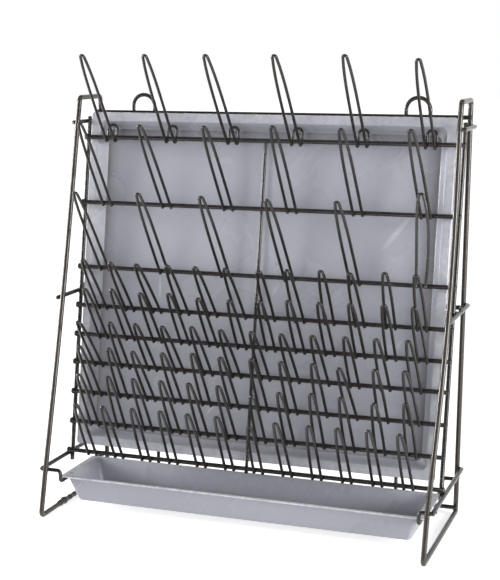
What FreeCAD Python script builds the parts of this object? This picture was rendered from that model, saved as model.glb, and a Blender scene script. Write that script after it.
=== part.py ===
import FreeCAD, Part
import math
import os
import Sketcher

# A drying rack for laboratory glassware. Two bent-wire end frames stand on the bench, and struts welded
# across their outer sides carry a leaning panel of peg bars. A shallow tray hangs behind the pegs and a
# deeper one lies under them to catch the drips.
# Frame: +X to the right, +Y to the back, +Z up, in millimetres. The origin is on the floor, in the middle
# of the rack. Welded wires touch along their sides, so centre lines are half the two diameters apart.

Vector = FreeCAD.Vector
X_AXIS = Vector(1, 0, 0)
Y_AXIS = Vector(0, 1, 0)
BACK = Vector(-1, 0, 0)  # turning about this axis leans a wire back, towards +Y

SIZES = [
    ("frame_wire", 5.2, "diameter of the end frames' wire"),
    ("frame_spacing", 400, "between the two end frames"),
    ("frame_front", 83.15, "front foot corner, forward of the middle"),
    ("frame_rear", 79.15, "rear leg, behind the middle"),
    ("frame_top", 49.5, "top, front corner to rear corner"),
    ("frame_height", 423.3, "foot to top"),
    ("frame_bend", 4, "radius of the end frames' bends"),
    ("cross_wire", 4.5, "diameter of the struts, bars and side uprights"),
    ("centre_wire", 3.5, "diameter of the centre upright"),
    ("hanger_wire", 4, "diameter of the hanger wires and tray rails"),
    ("strut_top_height", 400.35, "top struts above the floor"),
    ("strut_mid_height", 222.15, "middle struts above the floor"),
    ("strut_bottom_height", 49.5, "bottom struts above the floor"),
    ("strut_end", 0.5, "struts past the legs' centre lines"),
    ("panel_foot", -20.12, "where the line of peg bars meets the floor"),
    ("panel_lean", 9.76, "degrees from vertical"),
    ("upright_from", 41.75, "side uprights, lower end above the floor"),
    ("upright_to", 405.75, "side uprights, upper end above the floor"),
    ("centre_from", 47.75, "centre upright, lower end above the floor"),
    ("centre_to", 385.75, "centre upright, upper end above the floor"),
    ("centre_offset", -1.6, "centre upright beside the middle"),
    ("bar_half", 203.5, "half length of a peg bar"),
    ("resting_bar_half", 205, "half length of the bars that lie on struts"),
    ("bar_height_1", 384.25, "peg bar above the floor"),
    ("bar_height_2", 316.25, "peg bar above the floor"),
    ("bar_height_3", 248.75, "peg bar above the floor"),
    ("bar_height_4", 208.25, "peg bar above the floor"),
    ("bar_height_5", 177.75, "peg bar above the floor"),
    ("bar_height_6", 148.25, "peg bar above the floor"),
    ("bar_height_7", 116.75, "peg bar above the floor"),
    ("bar_height_8", 85.25, "peg bar above the floor"),
    ("bar_height_9", 54, "peg bar above the floor"),
    ("peg_wire", 3, "diameter of the peg wire"),
    ("peg_stub", 1, "legs past the bar's centre line"),
    ("peg_gap", 9.4, "between a peg's legs at the bar"),
    ("peg_tip_gap", 5.6, "between a peg's legs at the tip"),
    ("short_peg", 74.5, "bar to tip, rows 4 to 9"),
    ("short_pitch", 31.1, "between short pegs"),
    ("short_count", 12, "short pegs in a row"),
    ("long_peg", 111, "bar to tip, rows 1 to 3"),
    ("long_pitch", 68, "between long pegs"),
    ("long_count", 6, "long pegs in a row"),
    ("peg_lean_1", 51.8, "legs above horizontal, degrees"),
    ("peg_middle_1", -2.2, "middle of the row beside the rack's"),
    ("peg_lean_2", 52.5, "legs above horizontal, degrees"),
    ("peg_middle_2", -1.2, "middle of the row beside the rack's"),
    ("peg_lean_3", 53, "legs above horizontal, degrees"),
    ("peg_middle_3", 0.2, "middle of the row beside the rack's"),
    ("peg_lean_4", 50.5, "legs above horizontal, degrees"),
    ("peg_middle_4", 1.3, "middle of the row beside the rack's"),
    ("peg_lean_5", 53, "legs above horizontal, degrees"),
    ("peg_middle_5", 3.9, "middle of the row beside the rack's"),
    ("peg_lean_6", 50.7, "legs above horizontal, degrees"),
    ("peg_middle_6", 0, "middle of the row beside the rack's"),
    ("peg_lean_7", 56, "legs above horizontal, degrees"),
    ("peg_middle_7", 0.2, "middle of the row beside the rack's"),
    ("peg_lean_8", 59, "legs above horizontal, degrees"),
    ("peg_middle_8", -0.7, "middle of the row beside the rack's"),
    ("peg_lean_9", 60.4, "legs above horizontal, degrees"),
    ("peg_middle_9", -1.8, "middle of the row beside the rack's"),
    ("bent_lean", 82.2, "bent peg of row 3 above horizontal, degrees"),
    ("bent_peg", 93, "bent peg, bar to tip"),
    ("bent_middle", 168.7, "bent peg beside the rack's middle"),
    ("bent_bow", 2.6, "bent peg's right leg, how far it bows out"),
    ("bow_from", 46, "lower end of the bow, from the bar"),
    ("bow_to", 78, "upper end of the bow, from the bar"),
    ("hook_depth", 4, "apex of the rear loops behind the back tray's front"),
    ("hook_half", 4.9, "half width of a rear loop"),
    ("tray_wall", 1.5, "thickness of both trays"),
    ("tray_flange", 9, "width of the flanges round the back tray and at the drip tray's ends"),
    ("tray_lip", 2, "radius where both trays' flanges turn into their walls"),
    ("drip_edge", 4, "width of the drip tray's front and rear flanges"),
    ("back_width", 390, "back tray"),
    ("back_height", 355, "back tray, along its slope"),
    ("back_depth", 13, "back tray, front face to back"),
    ("back_draft", 8, "slope of the back tray's walls over the depth"),
    ("rim_corner", 3, "corner radius of both trays' flanges"),
    ("back_corner", 7, "corner radius of the back tray's walls"),
    ("back_rounding", 3.5, "radius where the back tray's walls meet its floor"),
    ("back_lean", 8.98, "degrees from vertical"),
    ("back_top", 410.25, "upper edge of the back tray above the floor"),
    ("back_middle", -2.2, "back tray beside the middle"),
    ("drip_width", 388, "drip tray"),
    ("drip_length", 79.5, "drip tray, front to back"),
    ("drip_depth", 28.4, "drip tray, rim to underside"),
    ("drip_draft", 8.5, "slope of the drip tray's walls over the depth"),
    ("drip_corner", 6, "corner radius of the drip tray's walls"),
    ("drip_rounding", 4, "radius where the drip tray's walls meet its floor"),
    ("drip_front", -51.35, "front edge of the drip tray"),
    ("rail_spacing", 379, "between the rails' long runs"),
    ("rail_drop", 11.65, "rails' long runs below their ends"),
    ("rail_front", -58, "front drop of the rails"),
    ("rail_rear", 56.15, "rear drop of the rails"),
    ("rail_end", 205, "rails' ends from the middle"),
    ("rail_bend", 3.5, "radius of the rails' bends"),
    ("back_bar_half", 203, "half length of a bar across the rear legs"),
    ("back_bar_top_height", 409.25, "top back bar above the floor"),
    ("back_bar_mid_height", 213.75, "middle back bar above the floor"),
    ("back_bar_bottom_height", 8.6, "bottom back bar above the floor"),
    ("hanger_x", 136, "hanger wires from the middle"),
    ("hanger_width", 24.4, "hanging arches, leg to leg"),
    ("hanger_bend", 12, "radius of the hanging arches' bends"),
    ("hanger_apex", 427.75, "hanging arches above the floor"),
]

# Wires are drawn with regular polygons for sections.
ROD_SIDES = 12
BENT_SIDES = 8
PEG_SIDES = 6
RAIL_CHORDS = 3  # to a bend

# A peg's tip: where the legs turn in, and the crown between them, in parts of the gap between the legs.
TIP_SHOULDER = 0.8
TIP_CROWN = 0.26
# A rear loop's top: the same, in parts of its half width.
LOOP_SHOULDER = 0.72
LOOP_CROWN = 0.3

doc = FreeCAD.newDocument("drying_pegboard_rack")
sheet = doc.addObject("Spreadsheet::Sheet", "sizes")
for line, (alias, number, meaning) in enumerate(SIZES, start=1):
    sheet.set(f"A{line}", meaning)
    sheet.set(f"B{line}", str(number))
    sheet.setAlias(f"B{line}", alias)
doc.recompute()


def value(expression):
    """The number that an expression on the sheet gives."""
    return float(sheet.evalExpression(str(expression)))


# ---- Places that several pieces share, as expressions on the sheet ----

REAR = "sizes.frame_rear"
FOOT_HEIGHT = "(sizes.frame_wire / 2)"
TOP_HEIGHT = f"({FOOT_HEIGHT} + sizes.frame_height)"
LEG_SLOPE = "((sizes.frame_front + sizes.frame_rear - sizes.frame_top) / sizes.frame_height)"
STRUT_X = "(sizes.frame_spacing / 2 + (sizes.frame_wire + sizes.cross_wire) / 2)"
UPRIGHT_X = f"({STRUT_X} - sizes.cross_wire)"
BACK_BAR_Y = f"({REAR} - (sizes.frame_wire + sizes.cross_wire) / 2)"
HANGER_Y = f"({BACK_BAR_Y} + (sizes.cross_wire + sizes.hanger_wire) / 2)"
PEG_SEAT = "((sizes.cross_wire + sizes.peg_wire) / 2)"


def leg_y(height):
    """The front leg's centre line at a height."""
    return f"(-sizes.frame_front + ({height} - {FOOT_HEIGHT}) * {LEG_SLOPE})"


def panel_y(height):
    """The line of the peg bars' centres at a height."""
    return f"(sizes.panel_foot + ({height}) * tan(sizes.panel_lean))"


def tray_front_y(height):
    """The back tray's front face at a height: it touches the back of peg bar 1."""
    contact = f"{panel_y('sizes.bar_height_1')} + sizes.cross_wire / 2 / cos(sizes.back_lean)"
    return f"({contact} + ({height} - sizes.bar_height_1) * tan(sizes.back_lean))"


# ---- Makers ----


def place(piece, x, y, z, axis=None, angle="0"):
    """Moves a piece to x, y, z and turns it about an axis, all as expressions."""
    turn = FreeCAD.Rotation(axis, value(angle)) if axis else FreeCAD.Rotation()
    piece.Placement = FreeCAD.Placement(Vector(value(x), value(y), value(z)), turn)
    for name, expression in zip("xyz", (x, y, z)):
        piece.setExpression(f"Placement.Base.{name}", str(expression))
    if axis:
        piece.setExpression("Placement.Rotation.Angle", angle)


def rod(name, diameter, length, x, y, z, axis=None, angle="90"):
    """A straight cut wire. It stands on x, y, z, then turns about the axis through that point."""
    wire = doc.addObject("Part::Prism", name)
    wire.Polygon = ROD_SIDES
    wire.setExpression("Circumradius", f"{diameter} / 2")
    wire.setExpression("Height", length)
    place(wire, x, y, z, axis, angle)
    return wire


def cross_rod(name, diameter, half, y, z):
    """A straight wire across the rack, centred."""
    return rod(name, diameter, f"2 * ({half})", f"-({half})", y, z, Y_AXIS)


def new_body(name):
    body = doc.addObject("PartDesign::Body", name)
    body.AllowCompound = True
    return body


def new_sketch(body, name, plane, offset=None):
    """A sketch on one of the body's own planes, lifted off it by an offset expression."""
    sketch = body.newObject("Sketcher::SketchObject", name)
    support = next(f for f in body.Origin.OriginFeatures if f.Role == plane)
    sketch.AttachmentSupport = [(support, "")]
    sketch.MapMode = "FlatFace"
    if offset:
        sketch.setExpression("AttachmentOffset.Base.z", offset)
    return sketch


def pin_point(sketch, geometry, end, u, v):
    """Holds a point of a sketch at u, v from the sketch's origin."""
    for kind, expression in (("DistanceX", u), ("DistanceY", v)):
        rule = Sketcher.Constraint(kind, -1, 1, geometry, end, value(expression))
        number = sketch.addConstraint(rule)
        sketch.setExpression(f"Constraints[{number}]", str(expression))


def corner_arc(before, corner, after, radius):
    """Start, middle and end of the arc that rounds a corner."""
    inward = (before - corner).normalize()
    outward = (after - corner).normalize()
    half = inward.getAngle(outward) / 2
    start = corner + inward * (radius / math.tan(half))
    end = corner + outward * (radius / math.tan(half))
    bisector = (inward + outward).normalize()
    return start, corner + bisector * (radius / math.sin(half) - radius), end


def rounded_outline(sketch, corners, radius, closed=True):
    """Straight runs through the corners, joined by tangent arcs of one radius."""
    points = [Vector(value(u), value(v), 0) for u, v in corners]
    count = len(points)
    bends = range(count) if closed else range(1, count - 1)
    arcs = {
        i: corner_arc(points[i - 1], points[i], points[(i + 1) % count], value(radius))
        for i in bends
    }
    chain = []
    for i in range(count if closed else count - 1):
        j = (i + 1) % count
        start = arcs[i][2] if i in arcs else points[i]
        end = arcs[j][0] if j in arcs else points[j]
        run = sketch.addGeometry(Part.LineSegment(start, end))
        chain.append((run, 1, 2))
        if j in arcs:
            arc = sketch.addGeometry(Part.Arc(*arcs[j]))
            forward = sketch.getPoint(arc, 1).distanceToPoint(arcs[j][0]) < 1e-6
            chain.append((arc, 1, 2) if forward else (arc, 2, 1))
            rule = Sketcher.Constraint("Radius", arc, value(radius))
            number = sketch.addConstraint(rule)
            sketch.setExpression(f"Constraints[{number}]", str(radius))
    joints = zip(chain, chain[1:] + (chain[:1] if closed else []))
    for (one, _, leaving), (other, entering, _) in joints:
        sketch.addConstraint(Sketcher.Constraint("Tangent", one, leaving, other, entering))
    runs = [run for run, _, _ in chain[::2]]
    for i in bends:
        corner = sketch.addGeometry(Part.Point(points[i]), True)
        sketch.addConstraint(Sketcher.Constraint("PointOnObject", corner, 1, runs[i - 1]))
        sketch.addConstraint(Sketcher.Constraint("PointOnObject", corner, 1, runs[i]))
        pin_point(sketch, corner, 1, *corners[i])
    if not closed:
        pin_point(sketch, runs[0], 1, *corners[0])
        pin_point(sketch, runs[-1], 2, *corners[-1])


def straight_runs(sketch, corners):
    """Straight runs through the corners, mitred."""
    points = [Vector(value(u), value(v), 0) for u, v in corners]
    runs = [sketch.addGeometry(Part.LineSegment(a, b)) for a, b in zip(points, points[1:])]
    for one, other in zip(runs, runs[1:]):
        sketch.addConstraint(Sketcher.Constraint("Coincident", one, 2, other, 1))
    for run, corner in zip(runs, corners):
        pin_point(sketch, run, 1, *corner)
    pin_point(sketch, runs[-1], 2, *corners[-1])


def ring(centre, right, up, reach, sides):
    """Corners of a regular polygon about a centre, the first one on the right."""
    turns = [2 * math.pi * i / sides for i in range(sides)]
    return [centre + right * (reach * math.cos(a)) + up * (reach * math.sin(a)) for a in turns]


def wire_section(sketch, u, v, reach, sides):
    """A regular polygon whose corners lie on a construction circle."""
    centre, radius = Vector(value(u), value(v), 0), value(reach)
    circle = sketch.addGeometry(Part.Circle(centre, Vector(0, 0, 1), radius), True)
    number = sketch.addConstraint(Sketcher.Constraint("Radius", circle, radius))
    sketch.setExpression(f"Constraints[{number}]", reach)
    pin_point(sketch, circle, 3, u, v)
    corners = ring(centre, X_AXIS, Y_AXIS, radius, sides)
    lines = [
        sketch.addGeometry(Part.LineSegment(corner, corners[(i + 1) % sides]))
        for i, corner in enumerate(corners)
    ]
    for i, line in enumerate(lines):
        sketch.addConstraint(Sketcher.Constraint("Coincident", line, 2, lines[(i + 1) % sides], 1))
        sketch.addConstraint(Sketcher.Constraint("PointOnObject", line, 1, circle))
    for line in lines[1:]:
        sketch.addConstraint(Sketcher.Constraint("Equal", lines[0], line))
    pin_height(sketch, lines[0], v)


def pin_height(sketch, line, v):
    """Keeps a polygon's first corner level with its centre."""
    number = sketch.addConstraint(Sketcher.Constraint("DistanceY", -1, 1, line, 1, value(v)))
    sketch.setExpression(f"Constraints[{number}]", str(v))


def round_reach(diameter):
    """A wire section's corners lie on the wire's circle."""
    return f"{diameter} / 2"


PEG_REACH = f"sizes.peg_wire / 2 / cos(180 / {PEG_SIDES})"  # the hexagon's flats touch the circle


def pipe(body, section, path):
    """Sweeps a section along a path, with true mitres where straight runs meet."""
    sweep = body.newObject("PartDesign::AdditivePipe", "sweep")
    sweep.Profile = section
    sweep.Spine = path
    sweep.Transition = "Right corner"
    return sweep


def swept(corners, bend, chords, diameter, sides):
    """A wire along a 3-D route, each corner bent in a few mitred chords."""
    points = corners[:1]
    for before, corner, after in zip(corners, corners[1:], corners[2:]):
        arc = Part.Arc(*corner_arc(before, corner, after, bend))
        points += arc.discretize(chords + 1)
    path = Part.makePolygon(points + corners[-1:])
    ahead = (corners[1] - corners[0]).normalize()
    aside = (corners[2] - corners[1]).cross(ahead).normalize()
    polygon = ring(corners[0], aside, ahead.cross(aside), diameter / 2, sides)
    section = Part.makePolygon(polygon + polygon[:1])
    return path.makePipeShell([section], True, False, 1)


def fixed_shape(name, shape):
    """A sub-part whose wire is bent in more than one plane."""
    piece = doc.addObject("Part::Feature", name)
    piece.Shape = shape
    return piece


# ---- End frames: one thick wire each, bent into a tall closed loop ----


def end_frame(name, x):
    """A closed loop, its ends butt-welded."""
    body = new_body(name)
    path = new_sketch(body, "centre_line", "YZ_Plane")
    corners = [
        ("-sizes.frame_front", FOOT_HEIGHT), (REAR, FOOT_HEIGHT),
        (REAR, TOP_HEIGHT), (f"({REAR} - sizes.frame_top)", TOP_HEIGHT),
    ]
    rounded_outline(path, corners, "sizes.frame_bend")
    section = new_sketch(body, "section", "XY_Plane", f"{TOP_HEIGHT} / 2")
    wire_section(section, "0", REAR, round_reach("sizes.frame_wire"), ROD_SIDES)
    doc.recompute()
    body.Tip = pipe(body, section, path)
    place(body, x, "0", "0")
    return body


def struts():
    """Straight wires welded across the outside of both legs, three on each side."""
    made = []
    for level in ("top", "mid", "bottom"):
        height = f"sizes.strut_{level}_height"
        front = f"({leg_y(height)} - sizes.strut_end)"
        length = f"({REAR} + sizes.strut_end - {front})"
        for side, sign in (("left", "-"), ("right", "")):
            name = f"strut_{level}_{side}"
            made.append(rod(name, "sizes.cross_wire", length, f"{sign}{STRUT_X}", front, height, BACK))
    return made


# ---- Peg panel: uprights, cross bars and hairpin pegs ----


def upright(name, diameter, x, low, high):
    """A leaning wire behind the peg bars."""
    step = f"(sizes.cross_wire + {diameter}) / 2 / cos(sizes.panel_lean)"
    length = f"(({high}) - ({low})) / cos(sizes.panel_lean)"
    return rod(name, diameter, length, x, f"{panel_y(low)} + {step}", low, BACK, "sizes.panel_lean")


def uprights():
    low, high = "sizes.upright_from", "sizes.upright_to"
    return [
        upright("upright_left", "sizes.cross_wire", f"-{UPRIGHT_X}", low, high),
        upright("upright_right", "sizes.cross_wire", UPRIGHT_X, low, high),
        upright(
            "upright_centre", "sizes.centre_wire", "sizes.centre_offset", "sizes.centre_from", "sizes.centre_to",
        ),
    ]


def peg_bars():
    made = []
    for row in range(1, 10):
        height = f"sizes.bar_height_{row}"
        half = "sizes.resting_bar_half" if row == 9 else "sizes.bar_half"
        made.append(cross_rod(f"peg_bar_{row}", "sizes.cross_wire", half, panel_y(height), height))
    return made


def peg_body(name, row, lean, outline):
    """One hairpin peg. Its own frame has Y up the legs and Z towards the side that meets the bar."""
    body = new_body(name)
    path = new_sketch(body, "centre_line", "XY_Plane", PEG_SEAT)
    straight_runs(path, outline)
    section = new_sketch(body, "section", "XZ_Plane", f"-({outline[0][1]})")
    wire_section(section, outline[0][0], PEG_SEAT, PEG_REACH, PEG_SIDES)
    doc.recompute()
    sweep = pipe(body, section, path)
    body.Tip = sweep
    height = f"sizes.bar_height_{row}"
    place(body, "0", panel_y(height), height, X_AXIS, f"180 - {lean}")
    return body, sweep


def hairpin(length):
    """Half-open outline of a peg: two legs that close a little towards a narrow tip."""
    base, tip, stub = "sizes.peg_gap / 2", "sizes.peg_tip_gap / 2", "-sizes.peg_stub"
    shoulder = f"{length} - {TIP_SHOULDER} * sizes.peg_tip_gap"
    crown = f"{TIP_CROWN} * sizes.peg_tip_gap"
    return [
        (f"-{base}", stub), (f"-{tip}", shoulder), (f"-{crown}", length),
        (crown, length), (tip, shoulder), (base, stub),
    ]


def peg_row(row, length, pitch, count):
    """A row of like pegs on one bar, from the left."""
    body, sweep = peg_body(f"pegs_row_{row}", row, f"sizes.peg_lean_{row}", hairpin(length))
    places = "sizes.long_count" if row < 4 else "sizes.short_count"
    body.setExpression("Placement.Base.x", f"sizes.peg_middle_{row} - ({pitch}) * ({places} - 1) / 2")
    repeat = body.newObject("PartDesign::LinearPattern", "repeat")
    repeat.Originals = [sweep]
    repeat.Direction = (next(f for f in body.Origin.OriginFeatures if f.Role == "X_Axis"), [""])
    repeat.setExpression("Length", f"({pitch}) * ({count} - 1)")
    repeat.setExpression("Occurrences", count)
    body.Tip = repeat
    return body


def bent_peg():
    """The last long peg of row 3: knocked nearly upright, its right leg bowed outward."""
    length, tip, stub = "sizes.bent_peg", "sizes.peg_tip_gap / 2", "-sizes.peg_stub"
    base, bow = "sizes.peg_gap / 2", "sizes.bent_bow"
    crown = f"{TIP_CROWN} * sizes.peg_tip_gap"
    outline = [
        (f"-{base}", stub), (f"-{tip} - {bow} / 3", f"{length} - {tip}"),
        (f"-{crown}", length), (crown, length), (f"{tip} + {bow} / 2", f"{length} - {tip}"),
        (f"{base} + {bow}", "sizes.bow_to"), (f"{base} + {bow}", "sizes.bow_from"), (base, stub),
    ]
    body, _ = peg_body("peg_row_3_bent", 3, "sizes.bent_lean", outline)
    body.setExpression("Placement.Base.x", "sizes.bent_middle")
    return body


def hooked_pegs():
    """Row 1: closed wires. Each runs under bar 1 and turns up into a short loop that the tray hangs on."""
    bar = Vector(0, value(panel_y("sizes.bar_height_1")), value("sizes.bar_height_1"))
    seat = value(PEG_SEAT)
    wire = value("sizes.peg_wire")
    lean = math.radians(value("sizes.peg_lean_1"))
    forward = Vector(0, -math.cos(lean), math.sin(lean))
    below = Vector(0, -math.sin(lean), -math.cos(lean))
    half_base, half_tip = value("sizes.peg_gap / 2"), value("sizes.peg_tip_gap / 2")
    length = value("sizes.long_peg")

    # The loop's apex touches the back tray's sloping top wall from below.
    depth = value("sizes.hook_depth")
    tray_lean = math.radians(value("sizes.back_lean"))
    into_tray = Vector(0, math.cos(tray_lean), -math.sin(tray_lean))
    up_tray = Vector(0, math.sin(tray_lean), math.cos(tray_lean))
    edge = Vector(0, value(tray_front_y("sizes.back_top")), value("sizes.back_top"))
    draft = value("sizes.back_draft / (sizes.back_depth - sizes.tray_wall)")
    wall_drop = value("sizes.tray_flange") + draft * depth
    apex_drop = wall_drop + wire / 2 * math.hypot(1, draft)
    apex = edge + into_tray * depth - up_tray * apex_drop

    # The bend lies round the bar: the centre line is tangent to a circle about the bar's axis.
    to_apex = apex - bar
    reach = to_apex.Length
    heading = math.atan2(to_apex.z, to_apex.y) + math.asin(seat / reach)
    rearward = Vector(0, math.cos(heading), math.sin(heading))
    under = Vector(0, math.sin(heading), -math.cos(heading))
    leave, arrive = bar + below * seat, bar + under * seat
    quarter = below.getAngle(under) / 4
    middle = (below + under).normalize()
    corner = seat / math.cos(quarter)
    front_bend = bar + (below + middle).normalize() * corner
    rear_bend = bar + (middle + under).normalize() * corner
    run = math.sqrt(reach ** 2 - seat ** 2)
    half_loop = value("sizes.hook_half")
    side = run - half_loop

    def at(x, point):
        return point + X_AXIS * x

    route = [
        at(0, leave + forward * length),
        at(-2 * half_tip * TIP_CROWN, leave + forward * length),
        at(-half_tip, leave + forward * (length - 2 * half_tip * TIP_SHOULDER)),
        at(-half_base, front_bend),
        at(-half_loop, rear_bend),
        at(-half_loop, arrive + rearward * side),
        at(-half_loop * LOOP_SHOULDER, arrive + rearward * (side + half_loop * LOOP_SHOULDER)),
        at(-half_loop * LOOP_CROWN, arrive + rearward * run),
        at(0, arrive + rearward * run),
    ]
    path = Part.makePolygon(route)
    polygon = ring(route[0], forward, below, value(PEG_REACH), PEG_SIDES)
    section = Part.makePolygon(polygon + polygon[:1])
    half_peg = path.makePipeShell([section], True, False, 1)
    whole = half_peg.fuse(half_peg.mirror(route[0], X_AXIS)).removeSplitter()
    pitch, count = value("sizes.long_pitch"), int(value("sizes.long_count"))
    pegs = []
    for i in range(count):
        peg = whole.copy()
        peg.translate(X_AXIS * (value("sizes.peg_middle_1") + pitch * (i - (count - 1) / 2)))
        pegs.append(peg.Solids[0])
    return fixed_shape("pegs_row_1", Part.Compound(pegs))


# ---- Rear wires: bars across the legs, the bar the back tray leans on, and the hanging arches ----


def back_bars():
    heights = {
        "top": "sizes.back_bar_top_height",
        "mid": "sizes.back_bar_mid_height",
        "bottom": "sizes.back_bar_bottom_height",
    }
    return [
        cross_rod(f"back_bar_{level}", "sizes.cross_wire", "sizes.back_bar_half", BACK_BAR_Y, height)
        for level, height in heights.items()
    ]


def tray_rest_bar():
    """Lies on the middle struts and touches the back tray's back."""
    height = "(sizes.strut_mid_height + sizes.cross_wire)"
    behind = "(sizes.back_depth + sizes.cross_wire / 2) / cos(sizes.back_lean)"
    y = f"{tray_front_y(height)} + {behind}"
    return cross_rod("tray_rest_bar", "sizes.cross_wire", "sizes.resting_bar_half", y, height)


def hanger_wire(name, sign):
    """Up behind the back bars, over in an arch, and down to end on the top back bar."""
    body = new_body(name)
    path = new_sketch(body, "centre_line", "XZ_Plane")
    inner, outer = f"{sign}sizes.hanger_x", f"{sign}(sizes.hanger_x + sizes.hanger_width)"
    low = "(sizes.back_bar_bottom_height - sizes.cross_wire / 2)"
    end = "(sizes.back_bar_top_height - sizes.cross_wire / 2)"
    apex = "sizes.hanger_apex"
    corners = [(inner, low), (inner, apex), (outer, apex), (outer, end)]
    rounded_outline(path, corners, "sizes.hanger_bend", closed=False)
    section = new_sketch(body, "section", "XY_Plane", low)
    wire_section(section, inner, "0", round_reach("sizes.hanger_wire"), BENT_SIDES)
    doc.recompute()
    body.Tip = pipe(body, section, path)
    place(body, "0", HANGER_Y, "0")
    return body


# ---- Drip tray rails: bent wires welded under the bottom struts ----


def tray_rail(name, sign):
    """Both ends lie under the strut; the long run drops to carry the tray's flange."""
    high = value("sizes.strut_bottom_height - (sizes.cross_wire + sizes.hanger_wire) / 2")
    low = high - value("sizes.rail_drop")
    front, rear = value("sizes.rail_front"), value("sizes.rail_rear")
    inner, outer = value("sizes.rail_spacing / 2"), value("sizes.rail_end")
    corners = [
        Vector(outer, front, high), Vector(inner, front, high), Vector(inner, front, low),
        Vector(inner, rear, low), Vector(inner, rear, high), Vector(outer, rear, high),
    ]
    corners = [Vector(sign * c.x, c.y, c.z) for c in corners]
    bend, wire = value("sizes.rail_bend"), value("sizes.hanger_wire")
    return fixed_shape(name, swept(corners, bend, RAIL_CHORDS, wire, BENT_SIDES))


# ---- Trays: moulded pans with drafted walls and a flat flange ----


def rectangle(half_u, half_v):
    return [
        (f"-({half_u})", f"-({half_v})"), (half_u, f"-({half_v})"),
        (half_u, half_v), (f"-({half_u})", half_v),
    ]


def pan(name, width, height, depth, draft, corner, rounding, edge):
    """A pan in its own frame: the flange's face at Z = 0 and the floor below it.

    The walls are ruled between outlines that run round the lip, down the draft and round the floor's edge.
    `edge` is the flange's width along the two long sides.
    """
    body = new_body(name)
    wall, lip = "sizes.tray_wall", "sizes.tray_lip"
    rim = new_sketch(body, "rim", "XY_Plane")
    rounded_outline(rim, rectangle(f"{width} / 2", f"{height} / 2"), "sizes.rim_corner")
    doc.recompute()
    plate = body.newObject("PartDesign::Pad", "flange")
    plate.Profile = rim
    plate.setExpression("Length", wall)
    plate.Reversed = True
    doc.recompute()

    def outline(label, level, grow):
        sketch = new_sketch(body, label, "XY_Plane", f"-({level})")
        u, v = f"{width} / 2 - sizes.tray_flange + {grow}", f"{height} / 2 - {edge} + {grow}"
        rounded_outline(sketch, rectangle(u, v), corner)
        doc.recompute()
        return sketch

    def walls(kind, label, first, floor, out, lip_radius, lip_turns, floor_radius):
        """Outlines from the flange down: the lip, the draft, then an arc into the floor."""
        slope = f"({draft}) / ({depth})"
        levels = [(first, f"({lip})")]
        for turn in lip_turns:
            down, out_by = f"({lip_radius}) * cos({turn})", f"({lip_radius}) * sin({turn})"
            levels.append((f"{lip} - {down}", f"{lip} - {out_by}"))
        for turn in (0, 45, 90):
            level = f"({floor}) - ({floor_radius}) * (1 - sin({turn}))"
            inset = f"({slope}) * ({level}) + ({floor_radius}) * (1 - cos({turn}))"
            levels.append((level, f"({out}) - ({inset})"))
        sketches = [outline(f"{label}_{i}", level, grow) for i, (level, grow) in enumerate(levels)]
        feature = body.newObject(kind, label)
        feature.Profile = sketches[0]
        feature.Sections = sketches[1:]
        feature.Ruled = True
        doc.recompute()
        return feature

    walls(
        "PartDesign::AdditiveLoft", "outside",
        f"{wall} / 2", depth, wall, f"{lip} - {wall}", (90,), f"{rounding} + {wall}",
    )
    body.Tip = walls(
        "PartDesign::SubtractiveLoft", "inside", "0", f"{depth} - {wall}", "0", lip, (45, 90), rounding,
    )
    return body


def back_tray():
    tray = pan(
        "back_tray", "sizes.back_width", "sizes.back_height", "sizes.back_depth", "sizes.back_draft",
        "sizes.back_corner", "sizes.back_rounding", "sizes.tray_flange",
    )
    centre = "(sizes.back_top - sizes.back_height / 2 * cos(sizes.back_lean))"
    place(tray, "sizes.back_middle", tray_front_y(centre), centre, X_AXIS, "90 - sizes.back_lean")
    return tray


def drip_tray():
    """Its end flanges lie on the rails."""
    tray = pan(
        "drip_tray", "sizes.drip_width", "sizes.drip_length", "sizes.drip_depth", "sizes.drip_draft",
        "sizes.drip_corner", "sizes.drip_rounding", "sizes.drip_edge",
    )
    rail = "(sizes.strut_bottom_height - (sizes.cross_wire + sizes.hanger_wire) / 2 - sizes.rail_drop)"
    face = f"{rail} + sizes.hanger_wire / 2 + sizes.tray_wall"
    place(tray, "0", "sizes.drip_front + sizes.drip_length / 2", face)
    return tray


subparts = [
    end_frame("end_frame_left", "-sizes.frame_spacing / 2"),
    end_frame("end_frame_right", "sizes.frame_spacing / 2"),
]
subparts += struts() + uprights() + peg_bars()
subparts.append(hooked_pegs())
subparts.append(peg_row(2, "sizes.long_peg", "sizes.long_pitch", "sizes.long_count"))
subparts.append(peg_row(3, "sizes.long_peg", "sizes.long_pitch", "(sizes.long_count - 1)"))
subparts.append(bent_peg())
for row_number in range(4, 10):
    subparts.append(peg_row(row_number, "sizes.short_peg", "sizes.short_pitch", "sizes.short_count"))
subparts += back_bars() + [tray_rest_bar()]
subparts += [hanger_wire("hanger_wire_left", "-"), hanger_wire("hanger_wire_right", "")]
subparts += [tray_rail("tray_rail_left", -1), tray_rail("tray_rail_right", 1)]
subparts += [back_tray(), drip_tray()]
doc.recompute()

for feature in doc.Objects:
    if "Invalid" in feature.State or "Error" in feature.State:
        raise RuntimeError(f"{feature.Name} failed: {feature.State}")
os.makedirs("parts", exist_ok=True)
for subpart in subparts:
    shape = subpart.Shape
    if shape.isNull() or not shape.isValid() or not shape.Solids:
        raise RuntimeError(f"{subpart.Label} has no valid solid")
    shape.exportStep(f"parts/{subpart.Label}.step")
    print(subpart.Label, len(shape.Solids), round(shape.Volume, 1))
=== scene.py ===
import math

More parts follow.
